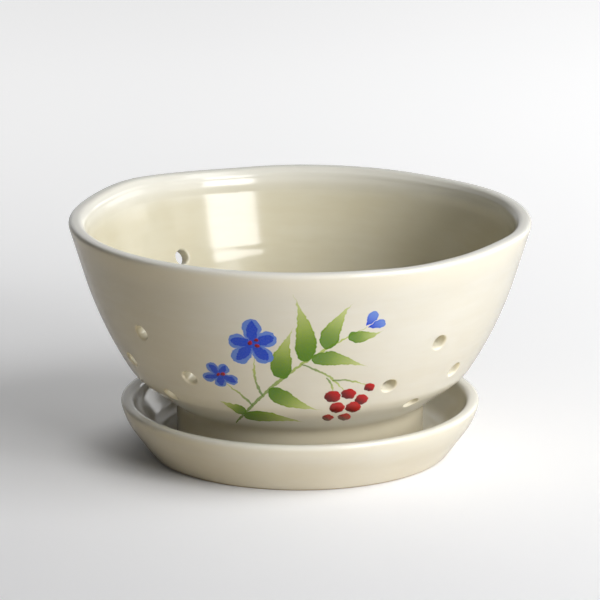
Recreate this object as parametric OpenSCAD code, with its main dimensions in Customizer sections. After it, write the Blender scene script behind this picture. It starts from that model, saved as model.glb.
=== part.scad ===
// Berry colander bowl on its drip saucer, thrown and trimmed stoneware.
// Millimetres, +Z up. The origin is the middle of the saucer's underside.
// The front of the pair faces -Y.

/* [Bowl] */
// Outer diameter of the bowl at its lip, before the lip is rounded
rim_d = 191.4; // [180:0.2:205]
// Height of the bowl from the bottom of its foot ring to the top of its lip
bowl_h = 92.5; // [85:0.5:120]
// Outer diameter where the wall bends, a little over halfway up
bend_d = 167; // [158:0.2:174]
// Height of that bend above the bottom of the foot ring
bend_h = 52.2; // [46:0.2:60]
// Outer diameter of the belly, where the wall turns under
belly_d = 139.6; // [130:0.2:148]
// Height of the belly above the bottom of the foot ring
belly_h = 29; // [26:0.2:32]
// Thickness of the wall, square to its face
wall_t = 5.5; // [4:0.1:7]
// Width of the lip, outside to inside
lip_w = 6.2; // [5:0.1:8]
// Depth of the soft bevel inside the lip
lip_bevel_h = 9; // [6:0.5:14]
// Height of the inside floor above the bottom of the foot ring
floor_h = 17; // [16:0.25:19]

/* [Foot ring] */
// Outer diameter of the foot ring
foot_d = 102.6; // [94:0.2:106]
// Height of the foot ring's outside, up to the underside of the bowl
foot_h = 15.3; // [13:0.1:16.5]
// Width of the face that the foot ring stands on
foot_w = 6.5; // [5:0.25:9]
// Depth of the recess trimmed inside the foot ring
recess_h = 10.5; // [8:0.25:12]
// How far the inside of the foot ring leans in up to the recess's ceiling
recess_lean = 1.8; // [0.5:0.1:3]

/* [Drain holes] */
// Diameter of each drain hole
drain_d = 6.3; // [4:0.1:8]
// Width of the soft edge round each hole's mouth
drain_edge = 0.7; // [0.3:0.1:1.2]
// Number of groups of four holes round the wall
drain_groups = 4; // [3:1:5]
// Height of the middle pair of a group above the bottom of the foot ring
drain_mid_h = 40.5; // [39:0.5:44]
// Rise from the middle pair to the top hole
drain_rise = 16.8; // [14:0.2:20]
// Drop from the middle pair to the low hole
drain_drop = 12; // [11:0.2:13]
// Turn from a group's middle line to either hole of the middle pair, in degrees
drain_spread = 13.6; // [11:0.1:18]
// Direction of the first group, the one to the right of the front, in degrees
drain_turn = -48.5; // [-60:0.5:-40]
// Number of holes in the ring through the floor
floor_holes = 6; // [4:1:8]
// Radius of that ring
floor_ring_r = 25; // [16:0.5:30]

/* [Saucer] */
// Outer diameter of the saucer at its lip
saucer_d = 149.6; // [140:0.2:170]
// Height of the saucer
saucer_h = 22.1; // [19:0.1:26]
// Diameter of the face that the saucer stands on
base_d = 124.2; // [118:0.2:127]
// Outer diameter of the saucer where its wall turns up
turn_d = 145.6; // [139:0.2:148]
// Height of that turn
turn_h = 14.6; // [12:0.2:16]
// Thickness of the saucer's floor
saucer_floor_t = 6; // [5:0.25:7.5]
// Thickness of the saucer's wall, square to its face
saucer_wall_t = 5; // [4:0.1:6]
// Width of the saucer's lip
saucer_lip_w = 5.4; // [4.6:0.1:6]

/* [Hidden] */
$fn = 96;

// Colour of the glaze
GLAZE = [0.86, 0.84, 0.77];

// How far from its corner each curve of the two outlines starts and ends
foot_edge_soft = 1.2;
foot_top_soft = 2.6;
belly_soft = 4.4;
bend_soft = 19;
lip_out_soft = 2.9;
lip_in_soft = 2.5;
lip_bevel_soft = 4;
inner_belly_soft = 10;
inner_floor_soft = 12;
recess_soft = 2.4;
base_soft = 1;
turn_soft = 5;
saucer_lip_soft = 2.4;
saucer_inner_soft = 4.6;
// Overrun of every cut past the face that it cuts
overrun = 1;
// Half the height over which the slope of the wall is taken at a hole
slope_reach = 1.5;
// Number of steps in each curve of an outline
CURVE_STEPS = 6;

// Hand-drilled groups sit a little off their even places: each pair is the turn as a share of
// drain_spread and the lift as a share of drain_rise, for a group round from the front right
drift_shares = [[0, -0.07], [-0.42, -0.14], [-0.16, 0], [0, 0.06]];

// Unit vector along v
function unit(v) = v / norm(v);

// Left-hand normal of the line from a to b
function left_of(a, b) = let (d = unit(b - a)) [-d.y, d.x];

// Corner of the line that runs a distance t to the left of the bent line a, b, c
function inset(a, b, c, t) =
    let (m = left_of(a, b), n = left_of(b, c))
    b + (m + n) * t / (1 + m * n);

// Point at height h on the line through a and b
function at_height(a, b, h) = a + (b - a) * (h - a.y) / (b.y - a.y);

// Points of the curve that takes the place of corner b between a and c, soft long each way
function bend(a, b, c, soft) =
    let (p = b + unit(a - b) * soft, q = b + unit(c - b) * soft)
    [for (i = [0:CURVE_STEPS])
        let (t = i / CURVE_STEPS)
        p * (1 - t) * (1 - t) + b * 2 * t * (1 - t) + q * t * t];

// What a curve of softness s may use of the side between corners a and b, where the curve at
// the side's other end has softness other
function room(a, b, s, other) = norm(b - a) * s / (s + other);

// The points at each corner [radius, height] of a closed outline, bent by its own softness,
// 0 for sharp
function bends(corners, softs) =
    let (n = len(corners))
    [for (i = [0:n - 1])
        let (a = (i + n - 1) % n, c = (i + 1) % n, s = softs[i])
        s == 0
            ? [corners[i]]
            : bend(corners[a], corners[i], corners[c],
                   min(s,
                       room(corners[a], corners[i], s, softs[a]),
                       room(corners[c], corners[i], s, softs[c])))];

// All the points of an outline, corner by corner
function flat(lists) = [for (part = lists) each part];

// Corners of the bowl's outside, from the foot ring up
foot_top = [foot_d / 2, foot_h];
belly = [belly_d / 2, belly_h];
wall_bend = [bend_d / 2, bend_h];
rim = [rim_d / 2, bowl_h];
rim_in = [rim_d / 2 - lip_w, bowl_h];

// Corners of its inside, a wall's thickness in
inner_belly = inset(foot_top, belly, wall_bend, wall_t);
inner_bend = inset(belly, wall_bend, rim, wall_t);
inner_foot = foot_top + left_of(foot_top, belly) * wall_t;
inner_rim = rim + left_of(wall_bend, rim) * wall_t;
inner_floor = at_height(inner_foot, inner_belly, floor_h);
bevel_low = at_height(inner_bend, inner_rim, bowl_h - lip_bevel_h);

// Corners of the foot ring's inside and the recess
foot_in = [foot_d / 2 - foot_w, 0];
recess_in = [foot_d / 2 - foot_w - recess_lean, recess_h];

// Corners of the saucer's outside and inside
base_edge = [base_d / 2, 0];
saucer_turn = [turn_d / 2, turn_h];
saucer_rim = [saucer_d / 2, saucer_h];
saucer_rim_in = [saucer_d / 2 - saucer_lip_w, saucer_h];
saucer_inner_turn = inset(base_edge, saucer_turn, saucer_rim, saucer_wall_t);
saucer_inner_base = base_edge + left_of(base_edge, saucer_turn) * saucer_wall_t;
saucer_inner_floor = at_height(saucer_inner_base, saucer_inner_turn, saucer_floor_t);

bowl_bends = bends(
    [[0, recess_h], recess_in, foot_in, [foot_d / 2, 0], foot_top, belly, wall_bend,
     rim, rim_in, bevel_low, inner_bend, inner_belly, inner_floor, [0, floor_h]],
    [0, recess_soft, foot_edge_soft, foot_edge_soft, foot_top_soft, belly_soft, bend_soft,
     lip_out_soft, lip_in_soft, lip_bevel_soft, bend_soft, inner_belly_soft, inner_floor_soft, 0]);

saucer_bends = bends(
    [[0, 0], base_edge, saucer_turn, saucer_rim, saucer_rim_in, saucer_inner_turn,
     saucer_inner_floor, [0, saucer_floor_t]],
    [0, base_soft, turn_soft, saucer_lip_soft, saucer_lip_soft, turn_soft / 2,
     saucer_inner_soft, 0]);

// Places of foot_top and rim among the bowl's corners
FOOT_TOP = 4;
RIM = 7;
// Height and radius along the bowl's outside, from the foot ring to the start of the lip's curve
outside_curve = [for (p = concat(
        flat([for (i = [FOOT_TOP:RIM - 1]) bowl_bends[i]]),
        [bowl_bends[RIM][0]])) [p.y, p.x]];

// Radius of the bowl's outside at height h, and how much it grows there for each millimetre up
function wall_r(h) = lookup(h, outside_curve);
function wall_growth(h) = (wall_r(h + slope_reach) - wall_r(h - slope_reach)) / (2 * slope_reach);

// A drain hole, drilled square to the wall at height h above the foot ring and direction turn
module wall_drain(h, turn) {
    growth = wall_growth(h);
    reach = wall_t + drain_edge;
    rotate([0, 0, turn])
        translate([wall_r(h), 0, h])
            rotate([0, 90 + atan(growth), 0]) {
                translate([0, 0, -reach - 2 * overrun])
                    cylinder(d = drain_d, h = reach + 4 * overrun);
                soft_mouth();
            }
}

// The soft edge where a hole meets a face: a cone that widens out of the face
module soft_mouth() {
    translate([0, 0, -drain_edge])
        cylinder(d1 = drain_d, d2 = drain_d + 2 * (drain_edge + overrun), h = drain_edge + overrun);
}

// The four holes of one group: one high, two level, one low
module drain_group(turn, lift) {
    wall_drain(drain_mid_h + lift + drain_rise, turn);
    wall_drain(drain_mid_h + lift - drain_drop, turn);
    for (side = [-1, 1])
        wall_drain(drain_mid_h + lift, turn + side * drain_spread);
}

// One hole straight down through the floor, soft at its upper mouth
module floor_drain() {
    translate([0, 0, recess_h - overrun])
        cylinder(d = drain_d, h = floor_h - recess_h + 2 * overrun);
    translate([0, 0, floor_h])
        soft_mouth();
}

// Bowl: wall, floor and foot ring thrown and trimmed from one piece of clay, then drilled
module colander_bowl() {
    color(GLAZE)
        translate([0, 0, saucer_floor_t])
            difference() {
                rotate_extrude()
                    polygon(flat(bowl_bends));
                for (i = [0:drain_groups - 1])
                    drain_group(
                        drain_turn + 360 * i / drain_groups
                            + drift_shares[i % len(drift_shares)][0] * drain_spread,
                        drift_shares[i % len(drift_shares)][1] * drain_rise);
                floor_drain();
                for (i = [0:floor_holes - 1])
                    rotate([0, 0, 360 * (i + 0.5) / floor_holes])
                        translate([floor_ring_r, 0, 0])
                            floor_drain();
            }
}

// Saucer: a flat floor that the foot ring stands on, inside a raised wall
module drip_saucer() {
    color(GLAZE)
        rotate_extrude()
            polygon(flat(saucer_bends));
}

drip_saucer();
colander_bowl();
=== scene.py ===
"""Berry colander bowl standing in its drip saucer, both of thrown and glazed stoneware.

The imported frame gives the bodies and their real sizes. This script throws the bowl and the saucer
again as fine meshes, drills and softens the drain holes, glazes them and paints a sprig on the
bowl's front. Lengths are in metres, +Z is up, and the front of the pair faces -Y.
"""
import logging
import math
from dataclasses import dataclass, field
from enum import Enum
from typing import ClassVar

import bmesh
import bpy
from mathutils import Matrix, Vector, noise


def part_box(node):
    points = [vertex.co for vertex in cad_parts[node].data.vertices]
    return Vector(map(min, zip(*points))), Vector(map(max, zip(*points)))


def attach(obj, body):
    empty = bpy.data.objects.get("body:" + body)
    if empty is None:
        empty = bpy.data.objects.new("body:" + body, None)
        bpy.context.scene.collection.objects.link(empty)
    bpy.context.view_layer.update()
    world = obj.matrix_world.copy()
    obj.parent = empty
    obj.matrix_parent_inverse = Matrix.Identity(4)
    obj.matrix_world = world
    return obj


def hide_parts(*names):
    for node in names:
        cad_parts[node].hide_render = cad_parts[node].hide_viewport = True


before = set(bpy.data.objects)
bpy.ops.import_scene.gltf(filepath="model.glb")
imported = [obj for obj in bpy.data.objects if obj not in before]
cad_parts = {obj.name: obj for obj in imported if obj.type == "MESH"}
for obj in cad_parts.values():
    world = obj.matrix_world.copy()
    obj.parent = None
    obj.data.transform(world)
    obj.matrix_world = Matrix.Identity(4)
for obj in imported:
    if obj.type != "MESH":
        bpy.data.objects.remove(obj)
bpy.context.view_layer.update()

LOG = logging.getLogger("berry_bowl")

MM = 0.001
BOWL_NODE = "colander_bowl"
SAUCER_NODE = "drip_saucer"
BOWL_BODY = "bowl"
SAUCER_BODY = "saucer"
OUTSIDE = "outside"
BORE = "bore"
AXIS = Vector((0.0, 0.0, 1.0))
# Points of a turned skin that lie closer than this are one point
SAME_POINT = 0.001 * MM
# The same for a drilled skin, and the size of the slivers that drilling leaves in it
SAME_CUT = 0.002 * MM
SLIVER = 0.02 * MM
# A wall is never taken as thinner than this
THINNEST = 1 * MM

Colour = tuple[float, float, float]
Socket = bpy.types.NodeSocket


def eased(value: float, low: float, high: float) -> float:
    """Ease from 0 at low to 1 at high.

    Args:
        value: The value to ease.
        low: Where the ease starts.
        high: Where it ends.

    Returns:
        A number from 0 to 1.
    """
    share = min(max((value - low) / (high - low), 0.0), 1.0)
    return share * share * (3 - 2 * share)


@dataclass(frozen=True)
class Corner:
    """A corner of a turned outline, and the length each way that its curve takes up."""

    radius: float
    height: float
    soft: float = 0.0
    steps: int = 8

    @property
    def place(self) -> Vector:
        """The corner as a vector of radius and height."""
        return Vector((self.radius, self.height))


def inset(before: Corner, here: Corner, after: Corner, wall: float) -> Vector:
    """Find the corner of a line that runs a wall's thickness to the left of a bent line.

    Args:
        before: The corner before.
        here: The corner to move in.
        after: The corner after.
        wall: The thickness.

    Returns:
        The inner corner, as a vector of radius and height.
    """
    first = (here.place - before.place).normalized().orthogonal()
    second = (after.place - here.place).normalized().orthogonal()
    return here.place + (first + second) * wall / (1 + first.dot(second))


def at_height(start: Vector, end: Vector, height: float) -> Vector:
    """Give the point at a height on the line through two points.

    Args:
        start: A point of radius and height.
        end: Another one.
        height: The height to look at.

    Returns:
        The point of radius and height.
    """
    return start + (end - start) * ((height - start.y) / (end.y - start.y))


def spin_line(bm: bmesh.types.BMesh, places: list[Vector], steps: int) -> None:
    """Spin a line that starts and ends on the axis into a skin.

    Args:
        bm: The bmesh that takes the skin.
        places: The line's points of radius and height.
        steps: How many steps the full turn has.
    """
    line = [bm.verts.new((place.x, 0.0, place.y)) for place in places]
    edges = [bm.edges.new(pair) for pair in zip(line, line[1:])]
    bmesh.ops.spin(
        bm,
        geom=line + edges,
        cent=(0, 0, 0),
        axis=AXIS,
        angle=math.tau,
        steps=steps,
        use_merge=True,
    )


@dataclass(frozen=True)
class Outline:
    """The half section of a turned piece, from the axis round to the axis again.

    Long runs are cut to the reach of their kind. The inside of the lip, above lip_from, is the
    finest.
    """

    corners: tuple[Corner, ...]
    wall_reach: float = 1.35 * MM
    level_reach: float = 2.8 * MM
    level_slope: float = 0.1
    lip_reach: float = 0.36 * MM
    lip_from: float = math.inf

    def soft_at(self, index: int) -> float:
        """Give the length of the curve at a corner, cut to its share of the two sides.

        Args:
            index: Which corner.

        Returns:
            The length each way.
        """
        here = self.corners[index]
        soft = here.soft
        for other in (self.corners[index - 1], self.corners[index + 1]):
            room = (other.place - here.place).length * here.soft / (here.soft + other.soft)
            soft = min(soft, room)
        return soft

    def bend(self, index: int) -> list[Vector]:
        """Give the points of one corner's curve.

        Args:
            index: Which corner.

        Returns:
            The points in order, a single one where the corner is sharp.
        """
        here = self.corners[index]
        if here.soft == 0:
            return [here.place]
        soft = self.soft_at(index)
        start = here.place + (self.corners[index - 1].place - here.place).normalized() * soft
        end = here.place + (self.corners[index + 1].place - here.place).normalized() * soft
        curve = []
        for step in range(here.steps + 1):
            share = step / here.steps
            curve.append(start.lerp(here.place, share).lerp(here.place.lerp(end, share), share))
        return curve

    def points(self, first: int = 0, last: int | None = None) -> list[Vector]:
        """Give the outline's points, with long runs cut into short ones.

        Args:
            first: The first corner to take.
            last: The last corner to take, or None for all.

        Returns:
            The points as vectors of radius and height.
        """
        last = len(self.corners) - 1 if last is None else last
        rough = [place for index in range(first, last + 1) for place in self.bend(index)]
        fine = [rough[0]]
        for place in rough[1:]:
            start = fine[-1]
            run = place - start
            level = abs(run.y) < abs(run.x) * self.level_slope
            reach = self.level_reach if level else self.wall_reach
            if self.lip_from < place.y < start.y:
                reach = self.lip_reach
            cuts = max(1, math.ceil(run.length / reach))
            fine.extend(start.lerp(place, cut / cuts) for cut in range(1, cuts + 1))
        return fine


@dataclass(frozen=True)
class Side:
    """One side of a wall, as its radius at each height."""

    curve: tuple[Vector, ...]

    @classmethod
    def of(cls, points: list[Vector]) -> "Side":
        """Sort a side's points by height."""
        return cls(tuple(sorted(points, key=lambda place: place.y)))

    def radius(self, height: float) -> float:
        """Give the side's radius at a height.

        Args:
            height: The height to look at.

        Returns:
            The radius, that of the nearer end above and below the side.
        """
        if height <= self.curve[0].y:
            return self.curve[0].x
        for low, high in zip(self.curve, self.curve[1:]):
            if low.y <= height <= high.y and high.y > low.y:
                return low.x + (high.x - low.x) * (height - low.y) / (high.y - low.y)
        return self.curve[-1].x

    def slope(self, height: float, reach: float = 1.5 * MM) -> float:
        """Give how much the radius grows with height."""
        return (self.radius(height + reach) - self.radius(height - reach)) / (2 * reach)


@dataclass(frozen=True)
class Swell:
    """A place round the rim where the hand left the clay a little high or low."""

    direction: float
    spread: float
    rise: float

    def at(self, turn: float) -> float:
        """Give the rise at a direction round the rim, in radians."""
        gap = (turn - math.radians(self.direction) + math.pi) % math.tau - math.pi
        return self.rise * math.exp(-((gap / math.radians(self.spread)) ** 2))


@dataclass(frozen=True)
class ThrowingRings:
    """The low spiral ridge that the potter's fingers leave in a turned wall.

    The drift is how far the ridge wanders from an even spiral, and the evenness how much of its
    depth it keeps where the hand was light.
    """

    pitch: float
    depth: float
    drift: float = 1.7
    evenness: float = 0.7

    def at(self, turn: float, run: float) -> float:
        """Give how far the wall stands out at a place.

        Args:
            turn: The direction round the axis, in radians.
            run: The way along the outline.

        Returns:
            The offset along the normal.
        """
        beat = run / self.pitch + turn / math.tau
        round_turn = Vector((math.cos(turn), math.sin(turn), beat / self.drift))
        slow = noise.noise(round_turn)
        return self.depth * math.sin(math.tau * beat + self.drift * slow) * (self.evenness + slow)


@dataclass
class ThrownPiece:
    """A piece of clay turned on the wheel, with an outer and an inner side to its wall."""

    name: str
    node: str
    body: str
    turns: int = 264
    outer_rings: ThrowingRings = ThrowingRings(pitch=4.6 * MM, depth=0.009 * MM)
    inner_rings: ThrowingRings = ThrowingRings(pitch=8.5 * MM, depth=0.022 * MM)
    swells: tuple[Swell, ...] = ()
    outer: Side | None = field(default=None, repr=False)
    inner: Side | None = field(default=None, repr=False)
    object: bpy.types.Object | None = field(default=None, repr=False)

    def outline(self) -> Outline:
        """Give the piece's half section."""
        raise NotImplementedError

    def outsideness(self, radius: float, height: float) -> float:
        """Say how far through the wall a place lies.

        Args:
            radius: The place's distance from the axis.
            height: Its height.

        Returns:
            A number from 0 on the inside to 1 on the outside.
        """
        out = self.outer.radius(height)
        into = self.inner.radius(height)
        return min(max((radius - into) / max(out - into, THINNEST), 0.0), 1.0)

    def handled(self, radius: float, height: float) -> float:
        """Say how much a place keeps of the potter's rings, from 0 to 1."""
        raise NotImplementedError

    def lifted(self, height: float) -> float:
        """Say how much a height follows the rim's rise and fall, from 0 to 1."""
        return 0.0

    def pressed(self, height: float) -> float:
        """Say how far the potter's finger left the inside standing in at a height."""
        return 0.0

    def turned(self) -> bmesh.types.BMesh:
        """Spin the outline into a closed skin.

        Returns:
            The new bmesh.
        """
        bm = bmesh.new()
        spin_line(bm, self.outline().points(), self.turns)
        bmesh.ops.remove_doubles(bm, verts=bm.verts[:], dist=SAME_POINT)
        bmesh.ops.recalc_face_normals(bm, faces=bm.faces[:])
        return bm

    def shape_by_hand(self, bm: bmesh.types.BMesh) -> None:
        """Press throwing rings into the walls and let the rim wander, as a thrown rim does.

        Args:
            bm: The skin, changed in place.
        """
        bm.normal_update()
        side = bm.verts.layers.float.new(OUTSIDE)
        moves = []
        for vert in bm.verts:
            radius = math.hypot(vert.co.x, vert.co.y)
            turn = math.atan2(vert.co.y, vert.co.x)
            share = self.outsideness(radius, vert.co.z)
            run = radius + vert.co.z
            kept = self.handled(radius, vert.co.z)
            outer = self.outer_rings.at(turn, run) * kept
            inner = self.inner_rings.at(turn, run) * kept + self.pressed(vert.co.z)
            depth = inner + (outer - inner) * share
            rise = sum(swell.at(turn) for swell in self.swells) * self.lifted(vert.co.z)
            vert[side] = share
            moves.append(vert.normal * depth + AXIS * rise)
        for vert, move in zip(bm.verts, moves):
            vert.co += move

    def stored(self, bm: bmesh.types.BMesh, name: str) -> bpy.types.Object:
        """Store a bmesh as a smooth shaded object and link it.

        Args:
            bm: The skin, freed here.
            name: The object's name.

        Returns:
            The new object.
        """
        for face in bm.faces:
            face.smooth = True
        mesh = bpy.data.meshes.new(name)
        bm.to_mesh(mesh)
        bm.free()
        made = bpy.data.objects.new(name, mesh)
        bpy.context.scene.collection.objects.link(made)
        return made

    def take_place(self, finish: bpy.types.Material) -> None:
        """Glaze the piece, and let it ride on its body and stand for its node.

        Args:
            finish: The material.
        """
        self.object.data.materials.append(finish)
        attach(self.object, self.body)
        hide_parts(self.node)
        LOG.info("%s: %d faces on body %s", self.name, len(self.object.data.polygons), self.body)


@dataclass(frozen=True)
class DrainHole:
    """One hole drilled through the clay, sponged soft at both mouths."""

    mouth: Vector
    way_in: Vector
    depth: float
    radius: float
    edge: float
    overrun: float = 0.7 * MM
    steps: int = 36
    edge_steps: int = 4
    edge_turn: float = 66.0

    def mouth_line(self) -> list[Vector]:
        """Draw the rounded mouth and the slope that leads out of it.

        Returns:
            The points of radius and depth, from the air in.
        """
        curve = []
        last_turn = math.radians(self.edge_turn)
        for step in range(self.edge_steps + 1):
            turn = last_turn * step / self.edge_steps
            out = self.radius + self.edge * (1 - math.cos(turn))
            curve.append(Vector((out, self.edge * (1 - math.sin(turn)))))
        away = curve[-1].y + self.overrun
        curve.append(curve[-1] + Vector((away * math.tan(last_turn), -away)))
        return list(reversed(curve))

    def cutter(self, bm: bmesh.types.BMesh) -> None:
        """Add the drill's shape to a bmesh.

        Args:
            bm: The bmesh that holds all the cutters.
        """
        start = self.mouth_line()
        end = [Vector((place.x, self.depth - place.y)) for place in reversed(start)]
        places = [Vector((0, start[0].y)), *start, *end, Vector((0, end[-1].y))]
        before = set(bm.verts)
        spin_line(bm, places, self.steps)
        fresh = [vert for vert in bm.verts if vert not in before]
        bmesh.ops.remove_doubles(bm, verts=fresh, dist=SAME_POINT)
        kept = [vert for vert in fresh if vert.is_valid]
        turn = AXIS.rotation_difference(self.way_in).to_matrix().to_4x4()
        bmesh.ops.transform(bm, matrix=Matrix.Translation(self.mouth) @ turn, verts=kept)

    def near(self, place: Vector, reach: float) -> bool:
        """Say whether a place lies by the hole.

        Args:
            place: The place to test.
            reach: How far from the hole's axis and its two mouths counts as near.

        Returns:
            Whether it does.
        """
        if (place - self.mouth).length > reach + self.depth + self.radius:
            return False
        along = (place - self.mouth).dot(self.way_in)
        across = (place - self.mouth - self.way_in * along).length
        return across < reach and -reach < along < self.depth + reach


@dataclass(frozen=True)
class DrainGroup:
    """Four holes: one high, two level, one low."""

    turn: float
    lift: float
    middle: float
    rise: float
    drop: float
    spread: float

    def places(self) -> list[tuple[float, float]]:
        """Lay out the four holes.

        Returns:
            The direction in degrees and the height of each.
        """
        middle = self.middle + self.lift
        return [
            (self.turn, middle + self.rise),
            (self.turn, middle - self.drop),
            (self.turn - self.spread, middle),
            (self.turn + self.spread, middle),
        ]


@dataclass
class ColanderBowl(ThrownPiece):
    """The bowl: a flaring wall on a trimmed foot ring, drilled in four groups and the floor.

    Heights are above the bottom of the foot ring. Where the fingers pressed the lip and the ring
    inside, such as lip_starts, roll_ends and ring_at, is measured down from the top of the lip.
    A drill goes on drain_past beyond the inside, and what lies within drain_rim of a bore counts
    as bore. Each drift share moves a group of drains by a part of drain_spread and of drain_rise.
    """

    stand: float = 6 * MM
    rim_r: float = 95.7 * MM
    tall: float = 92.5 * MM
    bend_r: float = 83.5 * MM
    bend_h: float = 52.2 * MM
    belly_r: float = 69.8 * MM
    belly_h: float = 29 * MM
    wall: float = 5.5 * MM
    lip: float = 6.2 * MM
    bevel: float = 9 * MM
    fine_under_bevel: float = 1 * MM
    floor_h: float = 17 * MM
    foot_r: float = 51.3 * MM
    foot_h: float = 15.3 * MM
    foot_w: float = 6.5 * MM
    recess_h: float = 10.5 * MM
    recess_lean: float = 1.8 * MM
    recess_soft: float = 2.4 * MM
    foot_edge_soft: float = 1.2 * MM
    foot_top_soft: float = 2.6 * MM
    belly_soft: float = 4.4 * MM
    bend_soft: float = 19 * MM
    bend_steps: int = 20
    lip_out_soft: float = 2.9 * MM
    lip_in_soft: float = 2.5 * MM
    bevel_soft: float = 4 * MM
    inner_belly_soft: float = 10 * MM
    inner_floor_soft: float = 12 * MM
    inner_steps: int = 12
    lip_excess: float = 0.44 * MM
    lip_starts: float = 1.2 * MM
    lip_full: float = 2.6 * MM
    lip_roll: float = 0.70 * MM
    roll_fades: float = 4.2 * MM
    roll_ends: float = 9.9 * MM
    crease: float = 0.12 * MM
    crease_starts: float = 3.1 * MM
    crease_full: float = 4.2 * MM
    ring_at: float = 31.5 * MM
    ring_depth: float = 0.05 * MM
    ring_width: float = 1.2 * MM
    foot_smooth: float = 2 * MM
    middle_smooth: float = 4 * MM
    middle_ringed: float = 10 * MM
    floor_skin: float = 0.5 * MM
    drain_r: float = 3.15 * MM
    drain_edge: float = 0.9 * MM
    floor_edge_share: float = 0.8
    drain_past: float = 0.08 * MM
    drain_rim: float = 0.05 * MM
    drain_middle: float = 40.5 * MM
    drain_rise: float = 16.8 * MM
    drain_drop: float = 12 * MM
    drain_spread: float = 13.6
    drain_turn: float = -48.5
    drift_shares: tuple[tuple[float, float], ...] = (
        (0, -0.07),
        (-0.42, -0.14),
        (-0.16, 0),
        (0, 0.06),
    )
    floor_ring_r: float = 25 * MM
    floor_holes: int = 6
    fine_reach: float = 6 * MM

    # Places of corners in the outline
    FOOT_TOP = 4
    RIM = 7
    BEVEL = 9
    FLOOR = 12
    # How often a hole's depth is measured again on the slope of the inside
    DEPTH_ROUNDS = 12
    # A hole whose way in has at least this much of Z goes through the floor
    UPRIGHT = 0.99

    def outline(self) -> Outline:
        """Draw the bowl's half section.

        Returns:
            The outline from the recess out, up, over the lip and down inside.
        """
        foot_top = Corner(self.foot_r, self.foot_h, self.foot_top_soft)
        belly = Corner(self.belly_r, self.belly_h, self.belly_soft)
        bend = Corner(self.bend_r, self.bend_h, self.bend_soft, self.bend_steps)
        rim = Corner(self.rim_r, self.tall, self.lip_out_soft)
        inner_belly = inset(foot_top, belly, bend, self.wall)
        inner_bend = inset(belly, bend, rim, self.wall)
        out_of_foot = (belly.place - foot_top.place).normalized().orthogonal() * self.wall
        out_of_rim = (rim.place - bend.place).normalized().orthogonal() * self.wall
        inner_floor = at_height(foot_top.place + out_of_foot, inner_belly, self.floor_h)
        bevel_low = at_height(inner_bend, rim.place + out_of_rim, self.tall - self.bevel)
        foot_in = self.foot_r - self.foot_w
        corners = (
            Corner(0, self.recess_h),
            Corner(foot_in - self.recess_lean, self.recess_h, self.recess_soft),
            Corner(foot_in, 0, self.foot_edge_soft),
            Corner(self.foot_r, 0, self.foot_edge_soft),
            foot_top,
            belly,
            bend,
            rim,
            Corner(self.rim_r - self.lip, self.tall, self.lip_in_soft),
            Corner(*bevel_low, self.bevel_soft),
            Corner(*inner_bend, self.bend_soft, self.bend_steps),
            Corner(*inner_belly, self.inner_belly_soft, self.inner_steps),
            Corner(*inner_floor, self.inner_floor_soft, self.inner_steps),
            Corner(0, self.floor_h),
        )
        raised = tuple(
            Corner(corner.radius, corner.height + self.stand, corner.soft, corner.steps)
            for corner in corners
        )
        return Outline(raised, lip_from=self.stand + self.tall - self.bevel - self.fine_under_bevel)

    def outsideness(self, radius: float, height: float) -> float:
        """Say how far through the wall a place lies, with all below the floor as outside.

        Args:
            radius: The place's distance from the axis.
            height: Its height.

        Returns:
            A number from 0 on the inside to 1 on the outside.
        """
        if height < self.stand + self.floor_h - self.floor_skin:
            return 1.0
        return super().outsideness(radius, height)

    def handled(self, radius: float, height: float) -> float:
        """Say how much a place keeps of the potter's rings.

        Args:
            radius: The place's distance from the axis.
            height: Its height.

        Returns:
            A number from 0 on the foot, the lip and the middle to 1 on the wall.
        """
        height -= self.stand
        if radius < self.foot_r + self.foot_smooth and height < self.foot_h:
            return 0.0
        lip = 1 - eased(height, self.tall - self.bevel, self.tall - self.bevel / 3)
        return lip * eased(radius, self.middle_smooth, self.middle_ringed)

    def lifted(self, height: float) -> float:
        """Say how much a height follows the rim: nothing below the bend, all at the lip."""
        return eased(height, self.stand + self.bend_h, self.stand + self.tall)

    def pressed(self, height: float) -> float:
        """Say how far the rolled lip and the finger's ring stand in over the plain wall.

        Args:
            height: The height above the saucer's underside.

        Returns:
            The offset along the normal.
        """
        below = self.stand + self.tall - height
        taper = self.lip_excess * max(1 - below / self.bevel, 0)
        crease = self.crease * eased(below, self.crease_starts, self.crease_full)
        rolled = 1 - eased(below, self.roll_ends - self.roll_fades, self.roll_ends)
        roll = (self.lip_roll - crease) * rolled
        lip = (roll - taper) * eased(below, self.lip_starts, self.lip_full)
        ring = -self.ring_depth * math.exp(-(((below - self.ring_at) / self.ring_width) ** 2))
        return lip + ring

    def wall_hole(self, direction: float, height: float) -> DrainHole:
        """Drill square to the wall from outside.

        Args:
            direction: The direction round the axis, in degrees.
            height: The height above the foot.

        Returns:
            The hole.
        """
        height += self.stand
        turn = math.radians(direction)
        out = Vector((math.cos(turn), math.sin(turn), 0))
        mouth = out * self.outer.radius(height) + AXIS * height
        way_in = (AXIS * self.outer.slope(height) - out).normalized()
        depth = self.wall
        for _ in range(self.DEPTH_ROUNDS):
            place = mouth + way_in * depth
            depth += math.hypot(place.x, place.y) - self.inner.radius(place.z)
        return DrainHole(mouth, way_in, depth + self.drain_past, self.drain_r, self.drain_edge)

    def floor_hole(self, x: float, y: float) -> DrainHole:
        """Drill straight down through the floor.

        Args:
            x: The place across.
            y: The place along.

        Returns:
            The hole.
        """
        mouth = Vector((x, y, self.stand + self.floor_h))
        depth = self.floor_h - self.recess_h
        edge = self.drain_edge * self.floor_edge_share
        return DrainHole(mouth, -AXIS, depth, self.drain_r, edge)

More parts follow.
